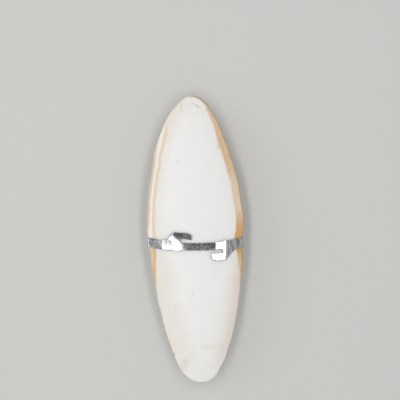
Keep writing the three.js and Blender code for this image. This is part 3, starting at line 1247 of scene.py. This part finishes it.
    def surface(self) -> tuple[Array, Array]:
        """The bent sheet as a closed surface with eased edges.

        A grid over the strip's length and width keeps the cells on the metal. The corners on the rim of what
        is kept move to the pattern's true edge, and each corner stands off the sheet's middle by the half
        thickness there: a quarter round within half a thickness of the edge.

        Returns:
            Corners in mm, and faces.
        """
        line, out, far_line = self.middle_line()
        length = float(far_line[-1])
        rim_end = int(np.argmax(line[:, 0]))
        front = far_line < np.interp(self.join_at, line[:rim_end, 0], far_line[:rim_end])
        flat_x = np.where(front, line[:, 0], self.join_at + (far_line - far_line[front][-1]))
        low, high = -self.right_hook.top - self.cell, self.left_hook.top + self.cell
        t_line = np.linspace(low, high, int(round((high - low) / self.cell)) + 1)
        far, t = np.meshgrid(far_line, t_line, indexing="ij")
        apart = self.distance(far, t, flat_x, length)
        centre = (apart[:-1, :-1] + apart[1:, :-1] + apart[1:, 1:] + apart[:-1, 1:]) / 4
        kept = centre < 0.0
        uses = np.zeros(far.shape, int)
        for di, dj in ((0, 0), (1, 0), (1, 1), (0, 1)):
            uses[di : di + kept.shape[0], dj : dj + kept.shape[1]] += kept
        rim = (uses > 0) & (uses < 4)
        far, t = self.snapped(far, t, rim, flat_x, length)
        apart = np.minimum(self.distance(far, t, flat_x, length), 0.0)
        radius = self.sheet / 2
        half = np.sqrt(np.maximum(0.0, radius**2 - (radius - np.minimum(-apart, radius)) ** 2))
        half = np.where(rim, 0.0, half)
        outer = self.placed(far, t, half, line, out, far_line)
        inner = self.placed(far, t, -half, line, out, far_line)
        number = np.arange(far.size).reshape(far.shape)
        second = np.where(rim, number, number + far.size)
        upper = self.cells(number, kept)
        lower = self.cells(second, kept)[:, ::-1]
        points = np.concatenate([outer, inner])
        used, faces = np.unique(np.concatenate([upper, lower]), return_inverse=True)
        return points[used], faces.reshape(-1, 4)

    def snapped(self, far: Array, t: Array, rim: Array, flat_x: Array, length: float) -> tuple[Array, Array]:
        """Moves the rim's corners to the edge, against the slope of the distance, in two steps.

        Args:
            far: Distance along the strip, in mm.
            t: Distance across it, in mm.
            rim: True at the corners that move.
            flat_x: Place across the bone at even steps along the strip.
            length: Length of the strip, in mm.

        Returns:
            The new far and t.
        """
        for _ in range(2):
            here = self.distance(far, t, flat_x, length)
            slope_far = (self.distance(far + self.probe, t, flat_x, length) - here) / self.probe
            slope_t = (self.distance(far, t + self.probe, flat_x, length) - here) / self.probe
            size = np.maximum(slope_far**2 + slope_t**2, self.least_slope**2)
            far = np.where(rim, far - here * slope_far / size, far)
            t = np.where(rim, t - here * slope_t / size, t)
        return far, t

    @staticmethod
    def cells(number: Array, kept: Array) -> Array:
        """The kept cells' corner numbers, anticlockwise seen from outside."""
        corners = [number[:-1, :-1], number[1:, :-1], number[1:, 1:], number[:-1, 1:]]
        return np.stack(corners, axis=-1)[kept]

    def placed(self, far: Array, t: Array, off: Array, line: Array, out: Array, far_line: Array) -> Array:
        """Where points of the flat pattern lie on the bent strip.

        Over the back the strip bows towards the front, and the right hook's finger carries on the slope of
        its tab. The left tab's fold runs slantwise: towards the rear it lies further out. The whole strip is
        turned a little on the bone.

        Args:
            far: Distance along the strip.
            t: Distance across it.
            off: Distance out from the sheet's middle.
            line: The middle line's points.
            out: Its outward normals.
            far_line: Its distances along.

        Returns:
            One row of x, y, z for each point, in mm.
        """
        px, pz = (np.interp(far, far_line, line[:, k]) for k in (0, 1))
        nx, nz = (np.interp(far, far_line, out[:, k]) for k in (0, 1))
        over = pz > self.bone.rim_height
        sag = self.strip_bow * np.maximum(0.0, 1.0 - (px / self.bone.half_width) ** 2) * over
        rise = self.dip_drop / (self.dip_at - self.right_fold)
        beside = t < -self.neck_width / 2 - self.finger_root
        finger = over & beside & (px > self.plate_centre) & (px < self.right_fold)
        lift = np.where(finger, rise * (self.right_fold - px), 0.0)
        before = self.left_fold + self.left_ease - px
        past = t - self.slant_from
        later = before - self.fold_slant * (np.hypot(past, self.slant_ease) + past) / 2.0
        lift = lift + (self.tab_fall(before) - self.tab_fall(later)) * (far < -self.plate_end)
        x, y, z = px + nx * off, t - sag, pz + nz * off + lift
        turn = math.radians(self.strip_turn)
        across = x * math.cos(turn) - y * math.sin(turn)
        along = x * math.sin(turn) + y * math.cos(turn) + self.strip_at
        return np.stack([across, along, z], axis=-1).reshape(-1, 3)

    def tab_fall(self, before: Array) -> Array:
        """How far the left tab has fallen so far before its fold's end: a parabola, then a straight slope.

        Args:
            before: Distance before the fold's end, in mm.

        Returns:
            Fall in mm, positive downwards.
        """
        plate = self.plate_line()
        foot, corner = plate[0], plate[-2]
        slope = (corner[1] - foot[1]) / (self.left_fold - foot[0])
        curved = np.clip(before, 0.0, 2.0 * self.left_ease) ** 2 / (4.0 * self.left_ease)
        return slope * np.where(before < 2.0 * self.left_ease, curved, before - self.left_ease)

    def build(self) -> bpy.types.Object:
        """Makes the piece, dresses it and hands it to the frame.

        Returns:
            The piece.
        """
        points, faces = self.surface()
        piece = make_piece("wire_holder", points, faces, {})
        piece.data.materials.append(TinFinish().material())
        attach(piece, "root")
        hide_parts("holder")
        return piece


@dataclass(frozen=True)
class TinFinish:
    """Bright tinned steel strip, with painted reflections in its base colour: dark bluish patches, and
    streaks across on its right-hand run.
    """

    bright: Colour = (0.83, 0.84, 0.86)
    # Painted reflection: the dark bluish base colour of the patches and streaks.
    painted_dark_reflection: Colour = (0.3, 0.315, 0.35)
    painted_reflection: Span = (0.37, 0.63)
    reflection_streaks_from: Span = (15.0, 24.0)
    smooth: float = 0.15
    rougher: float = 0.12
    bump: float = 0.05
    bump_depth: float = 0.0001

    def material(self) -> bpy.types.Material:
        """Builds the node tree: painted reflection from clouds of two sizes, and streaks across the strip.

        Returns:
            The material.
        """
        made = bpy.data.materials.new("bright tinplate")
        g = Graph(made)
        place = g.millimetres()
        # Painted reflection: these clouds and streaks darken the metal's base colour in patches.
        mottle = g.noise(place, 0.6, 5.0, 0.62)
        patch = g.noise(place, 0.13, 2.0)
        streak = g.noise(g.stretched(place, (1.0, 0.1, 1.0)), 0.8, 3.0)
        across = g.step(g.axis(place, "X"), *self.reflection_streaks_from)
        painted_reflection = (1.0 - across) * (0.55 * mottle + 0.45 * patch) + across * (0.25 * mottle + 0.75 * streak)
        sockets = {
            # Painted reflection: dark bluish base colour where the patches and streaks fall.
            "Base Color": g.blend(g.step(painted_reflection, *self.painted_reflection), self.painted_dark_reflection, self.bright),
            "Metallic": 1.0,
            "Roughness": self.smooth + self.rougher * mottle,
            "Normal": g.bump(mottle + 0.4 * streak, self.bump, self.bump_depth),
        }
        g.finish(sockets)
        return made


# ---------------------------------------------------------------------------------------------------------
# The studio
# ---------------------------------------------------------------------------------------------------------


@dataclass(frozen=True)
class Softbox:
    """A large soft lamp that faces the origin; place and size in metres, its length along Y."""

    place: tuple[float, float, float]
    width: float
    length: float
    brightness: float

    def build(self, name: str) -> None:
        """Adds the lamp: its power is the brightness times pi times its area.

        Args:
            name: Name of the lamp.
        """
        lamp = bpy.data.lights.new(name, "AREA")
        lamp.shape = "RECTANGLE"
        lamp.size, lamp.size_y = self.width, self.length
        lamp.energy = self.brightness * math.pi * self.width * self.length
        thing = in_scene(name, lamp)
        back = Vector(self.place).normalized()
        side = Vector((0.0, 1.0, 0.0)).cross(back).normalized()
        turned = Matrix((side, back.cross(side), back)).transposed().to_4x4()
        thing.matrix_world = Matrix.Translation(self.place) @ turned
        thing.visible_camera = False


@dataclass
class Studio:
    """A pale table, softboxes beside the camera and on the left, and a camera that looks straight down.

    Sizes in metres, the lean in degrees; the sky's stops are heights with their shades.
    """

    table_colour: Colour = linear(212, 212, 209)
    table_rough: float = 0.9
    table_half: float = 3.0
    view_across: float = 0.298
    view_centre: Span = (0.00365, 0.0290)
    view_level: float = 0.0165
    view_clip: Span = (0.01, 20.0)
    lean: float = -2.05
    lens_mm: float = 85.0
    sensor_mm: float = 36.0
    softboxes: tuple[Softbox, ...] = (
        Softbox((-0.34, 0.03, 0.95), 0.2, 1.3, 4.3),
        Softbox((0.35, 0.03, 0.95), 0.2, 1.3, 3.3),
        Softbox((-1.5, 0.4, 0.6), 0.9, 1.2, 1.2),
    )
    sky: tuple[Span, ...] = ((0.0, 0.7), (0.3, 0.62), (0.6, 0.44), (0.85, 0.33), (1.0, 0.11))

    def build(self) -> None:
        """Makes the table, lamps, world and camera."""
        self.table()
        self.world()
        for i, box in enumerate(self.softboxes):
            box.build(f"softbox_{i + 1}")
        self.camera()
        bpy.context.scene.view_settings.view_transform = "Standard"

    def table(self) -> None:
        """A wide flat plane just under the object."""
        half = self.table_half
        corners = [(-half, -half, 0.0), (half, -half, 0.0), (half, half, 0.0), (-half, half, 0.0)]
        mesh = bpy.data.meshes.new("table")
        mesh.from_pydata(corners, [], [(0, 1, 2, 3)])
        top = in_scene("table", mesh)
        made = bpy.data.materials.new("pale table")
        Graph(made).finish({"Base Color": (*self.table_colour, 1.0), "Roughness": self.table_rough})
        mesh.materials.append(made)

    def world(self) -> None:
        """A pale surround, brightest at the horizon and dark straight up, where the camera hangs."""
        world = bpy.data.worlds.new("studio")
        bpy.context.scene.world = world
        g = Graph(world)
        height = g.axis(g.node("ShaderNodeTexCoord", {}, {}, "Generated"), "Z")
        ramp = g.add("ShaderNodeValToRGB", {}, {0: height})
        stops = ramp.color_ramp.elements
        first, *between, last = self.sky
        for stop, (place, shade) in zip(stops, (first, last)):
            stop.position, stop.color = place, (shade, shade, shade, 1.0)
        for place, shade in between:
            stops.new(place).color = (shade, shade, shade, 1.0)
        light = g.node("ShaderNodeBackground", {}, {"Color": Wire(g, ramp.outputs["Color"])})
        g.add("ShaderNodeOutputWorld", {}, {"Surface": light})

    def camera(self) -> None:
        """Looks straight down on the bone, turned so that the bone leans a little."""
        lens = bpy.data.cameras.new("camera")
        lens.lens = self.lens_mm
        lens.sensor_width = self.sensor_mm
        lens.clip_start, lens.clip_end = self.view_clip
        height = self.view_across * self.lens_mm / self.sensor_mm
        camera = in_scene("camera", lens)
        camera.location = (*self.view_centre, self.view_level + height)
        camera.rotation_euler = (0.0, 0.0, math.radians(self.lean))
        bpy.context.scene.camera = camera


def main() -> None:
    """Builds the studio and both pieces."""
    logging.basicConfig(level=logging.INFO, format="%(name)s: %(message)s")
    Studio().build()
    for maker in (Cuttlebone(), Holder()):
        piece = maker.build()
        LOG.info("%s: %d corners, %d faces", piece.name, len(piece.data.vertices), len(piece.data.polygons))


if __name__ == "__main__":
    main()
